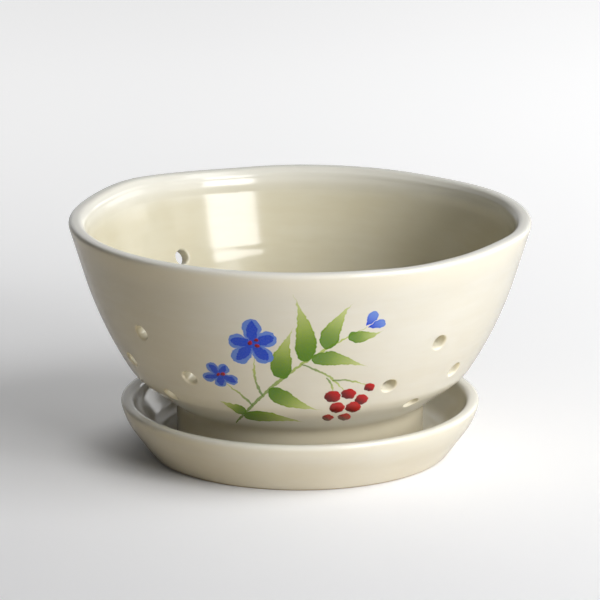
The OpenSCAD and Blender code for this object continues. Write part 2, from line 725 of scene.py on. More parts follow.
    def holes(self) -> list[DrainHole]:
        """Lay out every drain hole.

        Returns:
            The holes of the four groups, then those of the floor.
        """
        drilled = []
        for number, (turn_share, lift_share) in enumerate(self.drift_shares):
            group = DrainGroup(
                self.drain_turn + 360 * number / len(self.drift_shares)
                + turn_share * self.drain_spread,
                lift_share * self.drain_rise,
                self.drain_middle,
                self.drain_rise,
                self.drain_drop,
                self.drain_spread,
            )
            drilled.extend(self.wall_hole(turn, height) for turn, height in group.places())
        drilled.append(self.floor_hole(0, 0))
        for number in range(self.floor_holes):
            turn = math.tau * (number + 0.5) / self.floor_holes
            x, y = self.floor_ring_r * math.cos(turn), self.floor_ring_r * math.sin(turn)
            drilled.append(self.floor_hole(x, y))
        return drilled

    def refine(self, bm: bmesh.types.BMesh, holes: list[DrainHole]) -> None:
        """Cut the faces round each hole finer, and bring the new points back to the round wall.

        Args:
            bm: The turned skin.
            holes: The holes to come.
        """
        for hole in holes:
            close = {vert for vert in bm.verts if hole.near(vert.co, self.fine_reach)}
            edges = [edge for edge in bm.edges if edge.verts[0] in close and edge.verts[1] in close]
            bmesh.ops.subdivide_edges(bm, edges=edges, cuts=1, use_grid_fill=True)
            if abs(hole.way_in.z) > self.UPRIGHT:
                continue
            for vert in bm.verts:
                if not hole.near(vert.co, self.fine_reach):
                    continue
                radius = math.hypot(vert.co.x, vert.co.y)
                side = self.outer if self.outsideness(radius, vert.co.z) > 0.5 else self.inner
                scale = side.radius(vert.co.z) / radius
                vert.co.x *= scale
                vert.co.y *= scale

    def drill(self, skin: bpy.types.Object, holes: list[DrainHole]) -> None:
        """Cut all the holes at once.

        Args:
            skin: The turned bowl, changed in place.
            holes: The holes.
        """
        bm = bmesh.new()
        for hole in holes:
            hole.cutter(bm)
        bmesh.ops.recalc_face_normals(bm, faces=bm.faces[:])
        drills = self.stored(bm, "drills")
        cut = skin.modifiers.new("drain_holes", "BOOLEAN")
        cut.operation = "DIFFERENCE"
        cut.solver = "EXACT"
        cut.object = drills
        view = bpy.context.evaluated_depsgraph_get()
        whole = skin.data
        skin.data = bpy.data.meshes.new_from_object(skin.evaluated_get(view))
        skin.modifiers.clear()
        bpy.data.meshes.remove(whole)
        bpy.data.objects.remove(drills)

    def mark_bores(self, bm: bmesh.types.BMesh, holes: list[DrainHole]) -> None:
        """Mark the points in the holes: 1 on a bore, easing to 0 at the rim of its mouth.

        Args:
            bm: The drilled skin.
            holes: The holes.
        """
        layer = bm.verts.layers.float.new(BORE)
        for hole in holes:
            reach = hole.radius + hole.edge
            for vert in bm.verts:
                if hole.near(vert.co, reach):
                    away = vert.co - hole.mouth
                    off = (away - hole.way_in * away.dot(hole.way_in)).length
                    vert[layer] = 1 - eased(off, hole.radius + self.drain_rim, reach)

    @staticmethod
    def clean_cuts(bm: bmesh.types.BMesh) -> None:
        """Take out the slivers that drilling leaves, and split the many-sided faces by the holes.

        Args:
            bm: The drilled skin, changed in place.
        """
        bmesh.ops.remove_doubles(bm, verts=bm.verts[:], dist=SAME_CUT)
        bmesh.ops.dissolve_degenerate(bm, dist=SLIVER, edges=bm.edges[:])
        bmesh.ops.triangulate(bm, faces=[face for face in bm.faces if len(face.verts) > 4])

    def build(self) -> None:
        """Throw, trim and drill the bowl."""
        outline = self.outline()
        self.outer = Side.of(outline.points(self.FOOT_TOP, self.RIM))
        self.inner = Side.of(outline.points(self.BEVEL - 1, self.FLOOR))
        holes = self.holes()
        bm = self.turned()
        self.refine(bm, holes)
        self.object = self.stored(bm, self.name)
        self.drill(self.object, holes)
        bm = bmesh.new()
        bm.from_mesh(self.object.data)
        self.clean_cuts(bm)
        self.mark_bores(bm, holes)
        self.shape_by_hand(bm)
        for face in bm.faces:
            face.smooth = True
        bm.to_mesh(self.object.data)
        bm.free()


@dataclass
class DripSaucer(ThrownPiece):
    """The saucer: a flat floor for the foot ring, inside a raised wall."""

    rim_r: float = 74.8 * MM
    tall: float = 22.1 * MM
    base_r: float = 62.1 * MM
    turn_r: float = 72.8 * MM
    turn_h: float = 14.6 * MM
    floor_h: float = 6 * MM
    wall: float = 5 * MM
    lip: float = 5.4 * MM
    base_soft: float = 1 * MM
    turn_soft: float = 5 * MM
    lip_soft: float = 2.4 * MM
    inner_turn_soft: float = 2.5 * MM
    inner_floor_soft: float = 4.6 * MM
    seat_r: float = 54 * MM
    seat_over: float = 1 * MM
    base_smooth: float = 0.5 * MM
    lip_fades: float = 4 * MM
    lip_smooth: float = 1 * MM

    # Places of corners in the outline
    BASE = 1
    RIM = 3
    FLOOR = 6

    def outline(self) -> Outline:
        """Draw the saucer's half section.

        Returns:
            The outline from the base out, up, over the lip and down inside.
        """
        base = Corner(self.base_r, 0, self.base_soft)
        turn = Corner(self.turn_r, self.turn_h, self.turn_soft)
        rim = Corner(self.rim_r, self.tall, self.lip_soft)
        inner_turn = inset(base, turn, rim, self.wall)
        out_of_base = (turn.place - base.place).normalized().orthogonal() * self.wall
        inner_floor = at_height(base.place + out_of_base, inner_turn, self.floor_h)
        return Outline(
            (
                Corner(0, 0),
                base,
                turn,
                rim,
                Corner(self.rim_r - self.lip, self.tall, self.lip_soft),
                Corner(*inner_turn, self.inner_turn_soft),
                Corner(*inner_floor, self.inner_floor_soft),
                Corner(0, self.floor_h),
            )
        )

    def outsideness(self, radius: float, height: float) -> float:
        """Say how far through the wall a place lies, with the underside as outside.

        Args:
            radius: The place's distance from the axis.
            height: Its height.

        Returns:
            A number from 0 on the inside to 1 on the outside.
        """
        if height < self.floor_h / 2:
            return 1.0
        return super().outsideness(radius, height)

    def handled(self, radius: float, height: float) -> float:
        """Say how much a place keeps of the potter's rings.

        Args:
            radius: The place's distance from the axis.
            height: Its height.

        Returns:
            A number from 0 on the base, the seat and the lip to 1 on the wall.
        """
        seated = radius < self.seat_r and height < self.floor_h + self.seat_over
        if height < self.base_smooth or seated:
            return 0.0
        return 1 - eased(height, self.tall - self.lip_fades, self.tall - self.lip_smooth)

    def build(self) -> None:
        """Throw the saucer."""
        outline = self.outline()
        self.outer = Side.of(outline.points(self.BASE, self.RIM))
        self.inner = Side.of(outline.points(self.RIM + 1, self.FLOOR))
        bm = self.turned()
        self.shape_by_hand(bm)
        self.object = self.stored(bm, self.name)


class Wiring:
    """Puts shader nodes into a material or a group and links them."""

    # Places of a Mix node's factor, two colours and result among its sockets
    MIX_INPUTS = (0, 6, 7)
    MIX_OUTPUT = 2

    def __init__(self, tree: bpy.types.NodeTree) -> None:
        """Start on a tree.

        Args:
            tree: The node tree to fill.
        """
        self.tree = tree

    def put(self, kind: str, **settings: object) -> bpy.types.Node:
        """Add a node.

        Args:
            kind: Blender's name of the node type.
            **settings: Values of the node's own properties.

        Returns:
            The node.
        """
        node = self.tree.nodes.new(kind)
        for name, value in settings.items():
            setattr(node, name, value)
        return node

    def feed(self, socket: Socket, value: object) -> None:
        """Link a socket to another one, or set its plain value.

        Args:
            socket: The input to feed.
            value: A socket, a number, a vector or a colour.
        """
        if isinstance(value, bpy.types.NodeSocket):
            self.tree.links.new(value, socket)
        elif isinstance(value, tuple) and socket.type == "RGBA":
            socket.default_value = (*value, 1.0)
        else:
            socket.default_value = value

    def math(self, operation: str, *values: object, clamp: bool = False) -> Socket:
        """Add a Math node.

        Args:
            operation: The node's operation.
            *values: Its inputs, as sockets or numbers.
            clamp: Whether the result is held from 0 to 1.

        Returns:
            The result.
        """
        node = self.put("ShaderNodeMath", operation=operation, use_clamp=clamp)
        for socket, value in zip(node.inputs, values):
            self.feed(socket, value)
        return node.outputs[0]

    def vector(self, operation: str, *values: object, scale: object = None) -> Socket:
        """Add a Vector Math node.

        Args:
            operation: The node's operation.
            *values: Its vector inputs.
            scale: The input of a SCALE operation.

        Returns:
            The number of a dot product, a length or a distance, and otherwise the vector.
        """
        node = self.put("ShaderNodeVectorMath", operation=operation)
        for socket, value in zip(node.inputs, values):
            self.feed(socket, value)
        if scale is not None:
            self.feed(node.inputs["Scale"], scale)
        one = operation in ("DOT_PRODUCT", "LENGTH", "DISTANCE")
        return node.outputs["Value" if one else "Vector"]

    def ramp(
        self, value: object, low: object, high: object, to_low: object = 0.0, to_high: object = 1.0
    ) -> Socket:
        """Ease a value from one range to another with a Map Range node.

        Args:
            value: The value to map.
            low: Where the ease starts.
            high: Where it ends.
            to_low: What it gives at the start.
            to_high: What it gives at the end.

        Returns:
            The eased value.
        """
        node = self.put("ShaderNodeMapRange", interpolation_type="SMOOTHSTEP")
        for socket, given in zip(node.inputs, (value, low, high, to_low, to_high)):
            self.feed(socket, given)
        return node.outputs[0]

    def mix(self, factor: object, first: object, second: object) -> Socket:
        """Mix two colours.

        Args:
            factor: How much of the second.
            first: The first colour.
            second: The second colour.

        Returns:
            The colour.
        """
        node = self.put("ShaderNodeMix", data_type="RGBA")
        for place, value in zip(self.MIX_INPUTS, (factor, first, second)):
            self.feed(node.inputs[place], value)
        return node.outputs[self.MIX_OUTPUT]

    def separate(self, vector: Socket) -> bpy.types.bpy_prop_collection:
        """Split a vector into its three numbers.

        Args:
            vector: The vector.

        Returns:
            The sockets of X, Y and Z.
        """
        node = self.put("ShaderNodeSeparateXYZ")
        self.feed(node.inputs[0], vector)
        return node.outputs

    def first(self, colour: Socket) -> Socket:
        """Take the first channel of a colour.

        Args:
            colour: The colour.

        Returns:
            Its red.
        """
        node = self.put("ShaderNodeSeparateColor")
        self.feed(node.inputs[0], colour)
        return node.outputs[0]

    def noise(self, where: object, scale: float, detail: float = 2.0, rough: float = 0.5) -> Socket:
        """Add a Noise Texture.

        Args:
            where: The coordinates.
            scale: How many waves in a unit.
            detail: How many finer layers.
            rough: How strong these are.

        Returns:
            The noise, about 0.5 in the mean.
        """
        node = self.put("ShaderNodeTexNoise")
        self.feed(node.inputs["Vector"], where)
        self.feed(node.inputs["Scale"], scale)
        self.feed(node.inputs["Detail"], detail)
        self.feed(node.inputs["Roughness"], rough)
        return node.outputs["Fac"]

    def group(self, tree: bpy.types.NodeTree, **values: object) -> bpy.types.Node:
        """Place a node group.

        Args:
            tree: The group.
            **values: Its inputs, by name with underscores for spaces.

        Returns:
            The node.
        """
        node = self.put("ShaderNodeGroup", node_tree=tree)
        for name, value in values.items():
            self.feed(node.inputs[name.replace("_", " ")], value)
        return node


class NodeGroup:
    """A shader node group with named inputs and outputs, built once."""

    def __init__(self, name: str, inputs: dict[str, str], outputs: dict[str, str]) -> None:
        """Make the group and its sockets.

        Args:
            name: The group's name.
            inputs: The kind of each input by its name.
            outputs: The kind of each output by its name.
        """
        self.tree = bpy.data.node_groups.new(name, "ShaderNodeTree")
        for label, kind in inputs.items():
            self.tree.interface.new_socket(label, in_out="INPUT", socket_type=kind)
        for label, kind in outputs.items():
            self.tree.interface.new_socket(label, in_out="OUTPUT", socket_type=kind)
        self.wiring = Wiring(self.tree)
        self.given = self.wiring.put("NodeGroupInput").outputs
        self.taken = self.wiring.put("NodeGroupOutput").inputs

    def give(self, name: str, value: Socket) -> None:
        """Link one output of the group."""
        self.wiring.feed(self.taken[name], value)


FLOAT = "NodeSocketFloat"
VECTOR = "NodeSocketVector"
COLOUR = "NodeSocketColor"


class GlazeEffects:
    """The shader groups that both pieces' glazes share, each built once.

    A noise is given as its scale, its detail and its roughness.
    """

    CLOUDS = (24.0, 3.0, 0.55)
    BANDS = (260.0, 2.0, 0.6)
    BAND_STRETCH = (0.2, 0.2, 1.0)
    BAND_SHARE = 0.35
    POOLED_FROM = 0.36
    POOLED_TO = 0.64
    SPECK_SCALE = 130.0
    SPECK_RARITY = 0.972
    SPECK_RIM = 0.04
    SPECK_MIDDLE = 0.012
    SPECK_STRENGTH = 0.6
    BROAD_PEEL = (130.0, 1.0, 0.4)
    FINE_PEEL = (520.0, 1.0, 0.4)
    FINE_PEEL_SHARE = 0.12
    WIPE_SCALE = 90.0
    WIPE_WANDER = 0.5 * MM
    WIPE_ENDS = 0.5 * MM
    WIPE_FULL = 0.1 * MM

    def __init__(self) -> None:
        """Build the groups."""
        self.tone = self.build_tone()
        self.peel = self.build_peel()
        self.wiped = self.build_wiped()

    def build_tone(self) -> bpy.types.NodeTree:
        """Build the glaze's slow change of tone and its few specks.

        Returns:
            The group.
        """
        group = NodeGroup(
            "glaze_tone",
            {"Place": VECTOR, "Glaze": COLOUR, "Pooled": COLOUR, "Speck": COLOUR},
            {"Colour": COLOUR},
        )
        bench = group.wiring
        place = group.given["Place"]
        cloud = bench.noise(place, *self.CLOUDS)
        banded = bench.vector("MULTIPLY", place, self.BAND_STRETCH)
        bands = bench.noise(banded, *self.BANDS)
        clouded = bench.math("MULTIPLY", cloud, 1 - self.BAND_SHARE)
        drift = bench.math("MULTIPLY_ADD", bands, self.BAND_SHARE, clouded)
        settled = bench.ramp(drift, self.POOLED_FROM, self.POOLED_TO)
        colour = bench.mix(settled, group.given["Glaze"], group.given["Pooled"])
        dots = bench.put("ShaderNodeTexVoronoi", feature="F1")
        bench.feed(dots.inputs["Vector"], place)
        bench.feed(dots.inputs["Scale"], self.SPECK_SCALE)
        chosen = bench.math("GREATER_THAN", bench.first(dots.outputs["Color"]), self.SPECK_RARITY)
        spread = bench.ramp(dots.outputs["Distance"], self.SPECK_RIM, self.SPECK_MIDDLE)
        dot = bench.math("MULTIPLY", spread, chosen)
        strength = bench.math("MULTIPLY", dot, self.SPECK_STRENGTH)
        group.give("Colour", bench.mix(strength, colour, group.given["Speck"]))
        return group.tree

    def build_peel(self) -> bpy.types.NodeTree:
        """Build the faint unevenness of a fired glaze.

        Returns:
            The group.
        """
        group = NodeGroup("orange_peel", {"Place": VECTOR}, {"Height": FLOAT})
        bench = group.wiring
        place = group.given["Place"]
        broad = bench.noise(place, *self.BROAD_PEEL)
        fine = bench.noise(place, *self.FINE_PEEL)
        group.give("Height", bench.math("MULTIPLY_ADD", fine, self.FINE_PEEL_SHARE, broad))
        return group.tree

    def build_wiped(self) -> bpy.types.NodeTree:
        """Build the mask of the bare clay below the line to which the foot was wiped.

        Returns:
            The group.
        """
        group = NodeGroup("wiped_foot", {"Place": VECTOR, "Line": FLOAT}, {"Bare": FLOAT})
        bench = group.wiring
        place = group.given["Place"]
        height = bench.separate(place)[2]
        uneven = bench.noise(place, self.WIPE_SCALE)
        wander = bench.math("MULTIPLY_ADD", uneven, self.WIPE_WANDER, height)
        above = bench.math("SUBTRACT", wander, group.given["Line"])
        group.give("Bare", bench.ramp(above, self.WIPE_ENDS, self.WIPE_FULL))
        return group.tree


@dataclass(frozen=True)
class CreamGlaze:
    """The glossy cream glaze, with bare stoneware where the foot is wiped.

    Painted light makes the drains paler, and the glaze paler from lip_low up to the lip. Painted
    shade makes it darker and warmer below the angle, and the inside a darker, warmer copy.
    An angle under the ground means that there is none.
    """

    effects: GlazeEffects
    name: str = "cream_glaze"
    glaze: Colour = (0.730, 0.735, 0.705)
    pooled: Colour = (0.708, 0.704, 0.655)
    # Painted shade: the inside is a darker, warmer copy of the glaze, for the shade within the wall
    inside: Colour = (0.715, 0.690, 0.595)
    shaded_inside_pooled: Colour = (0.690, 0.650, 0.535)
    # Painted light: the bores are paler and warmer than the wall, for the light that passes through
    # the holes
    lit_bores: Colour = (0.860, 0.825, 0.690)
    # Painted shade: this darker, warmer colour below the angle stands for the shade between the bowl's
    # belly and the saucer
    shade_in_angle: Colour = (0.560, 0.500, 0.360)
    angle: float = -10 * MM
    angle_reach: float = 6 * MM
    angle_shade_strength: float = 0.85
    # Painted light: from lip_low up the glaze is paler, for the light and pale reflections that the
    # lip catches
    lit_lip: Colour = (0.790, 0.775, 0.690)
    lip_low: float = 15 * MM
    lip_high: float = 22 * MM
    lip_light_strength: float = 0.9
    shown_from: float = 0.8
    shown_to: float = 0.95
    speck: Colour = (0.30, 0.22, 0.13)
    clay: Colour = (0.56, 0.49, 0.38)
    grain: tuple[float, float, float] = (1400.0, 3.0, 0.7)
    grain_strength: float = 0.25
    gloss: float = 0.13
    smear: tuple[float, float] = (60.0, 3.0)
    smear_depth: float = 0.06
    refraction: float = 1.47
    clay_rough: float = 0.75
    peel: float = 0.012 * MM
    foot_line: float = 0.6 * MM

    def painted(self, bench: Wiring, place: Socket, colour: Socket) -> Socket:
        """Give the colour with any painting on it; a plain glaze has none."""
        return colour

    def material(self) -> bpy.types.Material:
        """Build the material.

        Returns:
            The material.
        """
        made = bpy.data.materials.new(self.name)
        made.use_nodes = True
        made.node_tree.nodes.clear()
        bench = Wiring(made.node_tree)
        place = bench.put("ShaderNodeTexCoord").outputs["Object"]
        outside = bench.put("ShaderNodeAttribute", attribute_name=OUTSIDE).outputs["Fac"]
        shown = bench.ramp(outside, self.shown_from, self.shown_to)
        # The glaze outside, and inside its darker, warmer copy as painted shade
        tone = bench.group(
            self.effects.tone,
            Place=place,
            Glaze=bench.mix(shown, self.inside, self.glaze),
            Pooled=bench.mix(shown, self.shaded_inside_pooled, self.pooled),
            Speck=self.speck,
        )
        bare = bench.group(self.effects.wiped, Place=place, Line=self.foot_line).outputs["Bare"]
        bore = bench.put("ShaderNodeAttribute", attribute_name=BORE).outputs["Fac"]
        height = bench.separate(place)[2]
        # Painted shade: darker and warmer from angle_reach above the angle downwards
        above_angle = self.angle + self.angle_reach
        shade_below_angle = bench.ramp(height, above_angle, self.angle, 0.0, self.angle_shade_strength)
        # Painted light on the lip, paler towards its top
        thin = bench.ramp(height, self.lip_low, self.lip_high, 0.0, self.lip_light_strength)
        lip_lightened = bench.mix(thin, tone.outputs["Colour"], self.lit_lip)
        # Mix in the painted shade below the angle
        settled = bench.mix(shade_below_angle, lip_lightened, self.shade_in_angle)
        # Painted light in the bores
        glazed = bench.mix(bore, settled, self.lit_bores)
        painted = bench.mix(shown, glazed, self.painted(bench, place, glazed))
        grain = bench.mix(bench.noise(place, *self.grain), self.clay, self.speck)
        clay = bench.mix(self.grain_strength, self.clay, grain)
        smeared = bench.noise(place, *self.smear)
        least = self.gloss - self.smear_depth / 2
        smear = bench.math("MULTIPLY_ADD", smeared, self.smear_depth, least)
        rough = bench.math("ADD", smear, bench.math("MULTIPLY", bare, self.clay_rough - self.gloss))
        bump = bench.put("ShaderNodeBump")
        bench.feed(bump.inputs["Height"], bench.group(self.effects.peel, Place=place).outputs[0])
        bump.inputs["Distance"].default_value = self.peel
        skin = bench.put("ShaderNodeBsdfPrincipled")
        bench.feed(skin.inputs["Base Color"], bench.mix(bare, painted, clay))
        bench.feed(skin.inputs["Roughness"], rough)
        bench.feed(skin.inputs["Normal"], bump.outputs["Normal"])
        skin.inputs["IOR"].default_value = self.refraction
        end = bench.put("ShaderNodeOutputMaterial")
        bench.feed(end.inputs["Surface"], skin.outputs["BSDF"])
        return made


class Pigment(Enum):
    """The three underglaze colours, each as a full and a thinned wash."""

    GREEN = ((0.080, 0.215, 0.002), (0.42, 0.54, 0.075))
    RED = ((0.090, 0.000, 0.000), (0.48, 0.000, 0.000))
    BLUE = ((0.001, 0.055, 0.66), (0.11, 0.23, 0.74))


class Brush(Enum):
    """How a stroke swells: the powers of its half width at its start and at its end."""

    LEAF = (0.62, 1.9)
    STEM = (0.25, 0.6)
    ROUND = (0.5, 0.5)
    PETAL = (1.0, 0.5)


@dataclass(frozen=True)
class Stroke:
    """One touch of a loaded brush, in millimetres on the unrolled front of the bowl."""

    brush: Brush
    pigment: Pigment
    across: float
    up: float
    turn: float
    length: float
    width: float
    bend: float
    density: float

    # How much of its paint a leaf's stroke has lost at its end
    SPENT: ClassVar[float] = 0.55
    # Halfway along, the share that is done times the share that is left is a quarter
    ARCH: ClassVar[float] = 4.0

    def settings(self) -> dict[str, object]:
        """Give the inputs of the stroke's group by name.

        Returns:
            The values, the width scaled so that the widest place has exactly the stroke's width.
        """
        turn = math.radians(self.turn)
        opening, closing = self.brush.value
        both = opening + closing
        swell = both**both / (opening**opening * closing**closing)
        return {
            "Start": (self.across, self.up, 0.0),
            "Along": (math.cos(turn), math.sin(turn), 0.0),
            "Across": (-math.sin(turn), math.cos(turn), 0.0),
            "Length": self.length,
            "Width": self.width * swell,
            "Bend": self.bend * self.ARCH,
            "Opening": opening,
            "Closing": closing,
            "Density": self.density,
            "Spent": self.SPENT if self.brush is Brush.LEAF else 0.0,
        }


@dataclass(frozen=True)
class Blossom:
    """A round blossom of petals laid side by side, each dark towards the middle."""

    pigment: Pigment
    across: float
    up: float
    turn: float
    radius: float
    petals: int = 5
    density: float = 1.02

    def settings(self) -> dict[str, object]:
        """Give the inputs of the blossom's group by name.

        Returns:
            The values.
        """
        return {
            "Middle": (self.across, self.up, 0.0),
            "Turn": math.radians(self.turn),
            "Petals": float(self.petals),
            "Radius": self.radius,
            "Density": self.density,
        }


@dataclass(frozen=True)
class Sprig:
    """The painting on the front: a sprig with leaves, blue blossoms and red berries."""

    strokes: tuple[Stroke, ...]
    blossoms: tuple[Blossom, ...]
    dots: tuple[Stroke, ...]

    @classmethod
    def of_berries(cls) -> "Sprig":
        """Lay the sprig out, in millimetres to the right of and above the painting's middle.

        Returns:
            The sprig.
        """
        leaf, stem, drop, petal = Brush.LEAF, Brush.STEM, Brush.ROUND, Brush.PETAL
        green, red, blue = Pigment.GREEN, Pigment.RED, Pigment.BLUE
        stems = (
            Stroke(stem, green, -27, -24, 46, 78, 0.7, 7, 0.85),
            Stroke(stem, green, -15, -3, 99, 20, 0.5, 1.5, 0.8),
            Stroke(stem, green, -19, -9.5, 137, 17, 0.45, -1.2, 0.8),
            Stroke(stem, green, 0.5, 14, -42, 24, 0.5, 2.5, 0.8),
            Stroke(stem, green, 10.5, 7.0, -73, 9.5, 0.45, 0.8, 0.8),
            Stroke(stem, green, 13, 5.5, -17, 15, 0.45, 1.2, 0.8),
        )
        leaves = (
            Stroke(leaf, green, -23, -16.5, -7, 25, 4.0, 1.5, 1.05),
            Stroke(leaf, green, -22, -15, 152, 14, 2.7, -1, 1.0),
            Stroke(leaf, green, -12.5, 0.5, -29, 24, 4.2, -1.5, 1.05),
            Stroke(leaf, green, -7.5, 6.5, 79, 27, 4.3, 1.8, 1.05),
            Stroke(leaf, green, 2, 15.5, 98, 34, 4.3, -2, 1.05),
            Stroke(leaf, green, 10, 22, 64, 25, 3.9, 1.5, 1.0),
            Stroke(leaf, green, 4.5, 17.5, -16, 24, 3.7, 1.8, 1.0),
            Stroke(leaf, green, 19, 27.5, 6, 15, 2.9, -0.8, 1.0),
        )
        # Each berry's middle and size
        places = (
            (13, -3.6, 3.3), (19.5, -2.8, 3.0), (25, -6.5, 2.8), (14.8, -10.2, 3.1),
            (21.4, -10.6, 3.2), (18, -17, 2.7), (28.2, 0, 2.3), (11.2, -16.6, 2.3),
        )
        # One stroke makes a berry, from its lower left, this share of its size each way, and over
        # its middle
        start_share = 0.7
        berries = tuple(
            Stroke(
                drop, red, across - size * start_share, up - size * start_share,
                45, size * 2, size, 0, 1.2,
            )
            for across, up, size in places
        )
        stamens = tuple(
            Stroke(drop, red, across, up, 35, 2.1, 0.9, 0, 1.2)
            for across, up in ((-20.6, 23.8), (-18.2, 25.6), (-17.9, 22.4), (-34.2, 5.6), (-32.2, 6.4))
        )
        buds = (
            Stroke(petal, blue, 27.5, 31.5, 14, 7.5, 2.1, 0.4, 1.0),
            Stroke(petal, blue, 26.5, 32.5, 58, 8.0, 2.2, 0, 1.0),
        )
        return cls(
            (*stems, *leaves, *buds),
            (
                Blossom(blue, -19.2, 24, 14, 12.2),
                Blossom(blue, -33, 6, 50, 8.0),
            ),
            (*berries, *stamens),
        )


@dataclass(frozen=True)
class PaintedGlaze(CreamGlaze):
    """The same glaze over the brushed sprig.

    Lengths of the painting are in its paper's millimetres. A load is how much paint lies in a
    stroke, more at its rim than in its middle, and uneven paint varies with the mottle.
    """

    name: str = "painted_cream_glaze"
    # Painted shade: the bowl's inside, darker and warmer than its outside
    inside: Colour = (0.680, 0.638, 0.490)
    shaded_inside_pooled: Colour = (0.655, 0.604, 0.445)
    foot_line: float = 6.6 * MM
    # The painted shade below the angle starts at the angle over the foot ring
    angle: float = 21 * MM
    # Painted light on the bowl's lip
    lit_lip: Colour = (0.800, 0.785, 0.710)
    lip_low: float = 84.5 * MM
    lip_high: float = 97 * MM
    sprig: Sprig = field(default_factory=Sprig.of_berries)
    middle: float = 46 * MM
    slant: float = 1.12
    shake: float = 1.6
    shake_noise: tuple[float, float] = (0.42, 1.0)
    mottle_noise: tuple[float, float, float] = (1.5, 3.0, 0.65)
    mottle_depth: float = 0.5
    edge: float = 0.22
    rim_load: float = 1.04
    rim_width: float = 0.1
    stroke_load: float = 0.94
    stroke_inside: float = 0.9
    stroke_mottle: float = 0.5
    stroke_drag: float = 1.6
    full_until: float = 0.02
    thin_from: float = 0.95
    spent_power: float = 3.0
    petal_load: float = 0.96
    petal_inside: float = 0.8
    petal_mottle: float = 0.3
    petal_width: float = 0.78
    petal_start_power: float = 0.85
    petal_end_power: float = 0.5
    petal_step: float = 2.4
    petal_lean: float = 0.07
    petal_reach: float = 0.92
    petal_reach_change: float = 0.13
    heart_narrows: float = 0.22
    heart_drag: float = 1.4
    heart_from: float = -0.25
    heart_full: float = 0.35

    def paper(self) -> bpy.types.NodeTree:
        """Build the group that unrolls the bowl's front flat, in millimetres.

        Returns:
            The group, whose Mottle is how unevenly the paint lies.
        """
        group = NodeGroup("unrolled_front", {"Place": VECTOR}, {"Paper": VECTOR, "Mottle": FLOAT})
        bench = group.wiring
        place = group.given["Place"]
        x, y, z = bench.separate(place)
        level = bench.vector("LENGTH", bench.vector("MULTIPLY", place, (1.0, 1.0, 0.0)))
        turn = bench.math("ARCTAN2", x, bench.math("MULTIPLY", y, -1.0))
        across = bench.math("MULTIPLY", bench.math("MULTIPLY", turn, level), 1 / MM)
        up = bench.math("MULTIPLY", bench.math("SUBTRACT", z, self.middle), self.slant / MM)
        joined = bench.put("ShaderNodeCombineXYZ")
        bench.feed(joined.inputs[0], across)
        bench.feed(joined.inputs[1], up)
        hand = bench.put("ShaderNodeTexNoise")
        bench.feed(hand.inputs["Vector"], joined.outputs[0])
        bench.feed(hand.inputs["Scale"], self.shake_noise[0])
        bench.feed(hand.inputs["Detail"], self.shake_noise[1])
        either_way = bench.vector("SUBTRACT", hand.outputs["Color"], (0.5, 0.5, 0.5))
        shake = bench.vector("SCALE", either_way, scale=self.shake)
        group.give("Paper", bench.vector("ADD", joined.outputs[0], shake))
        group.give("Mottle", bench.noise(joined.outputs[0], *self.mottle_noise))
        return group.tree

    def uneven(self, bench: Wiring, mottle: Socket) -> Socket:
        """Bring the mottle to change either way of zero."""
        return bench.math("MULTIPLY_ADD", mottle, self.mottle_depth, -self.mottle_depth / 2)

    def stroke_group(self) -> bpy.types.NodeTree:
        """Build the group that lays one brush stroke over a colour.

        Returns:
            The group.
        """
        inputs = {"Under": COLOUR, "Paper": VECTOR, "Mottle": FLOAT, "Start": VECTOR}
        inputs |= {"Along": VECTOR, "Across": VECTOR, "Length": FLOAT, "Width": FLOAT}
        inputs |= {"Bend": FLOAT, "Opening": FLOAT, "Closing": FLOAT, "Density": FLOAT}
        inputs |= {"Full": COLOUR, "Thin": COLOUR, "Spent": FLOAT}
        group = NodeGroup("brush_stroke", inputs, {"Colour": COLOUR})
        bench, given = group.wiring, group.given
        from_start = bench.vector("SUBTRACT", given["Paper"], given["Start"])
        along = bench.vector("DOT_PRODUCT", from_start, given["Along"])
        across = bench.vector("DOT_PRODUCT", from_start, given["Across"])
        share = bench.math("DIVIDE", along, given["Length"])
        left = bench.math("SUBTRACT", 1.0, share)
        room = bench.math("MULTIPLY", share, left)
        arch = bench.math("MULTIPLY", room, given["Bend"])
        off = bench.math("ABSOLUTE", bench.math("SUBTRACT", across, arch))
        opening = bench.math("POWER", share, given["Opening"])
        closing = bench.math("POWER", left, given["Closing"])
        half = bench.math("MULTIPLY", bench.math("MULTIPLY", opening, closing), given["Width"])
        inside = bench.math("SUBTRACT", half, off)
        past = bench.math("MULTIPLY", bench.math("MINIMUM", room, 0.0), given["Length"])
        depth = bench.math("ADD", inside, past)
        cover = bench.ramp(depth, -self.edge, self.edge)
        pool = bench.ramp(
            depth, self.stroke_inside, self.rim_width, self.stroke_load, self.rim_load
        )
        uneven = self.uneven(bench, given["Mottle"])
        late = bench.math("POWER", share, self.spent_power)
        spent = bench.math("MULTIPLY", late, given["Spent"])
        full = bench.math("MULTIPLY", bench.math("SUBTRACT", pool, spent), given["Density"])
        load = bench.math("MULTIPLY_ADD", uneven, self.stroke_mottle, full, clamp=True)
        run_out = bench.ramp(share, self.full_until, self.thin_from)
        fade = bench.math("MULTIPLY_ADD", uneven, self.stroke_drag, run_out)
        paint = bench.mix(fade, given["Full"], given["Thin"])
        laid = bench.math("MULTIPLY", cover, load)
        group.give("Colour", bench.mix(laid, given["Under"], paint))
        return group.tree

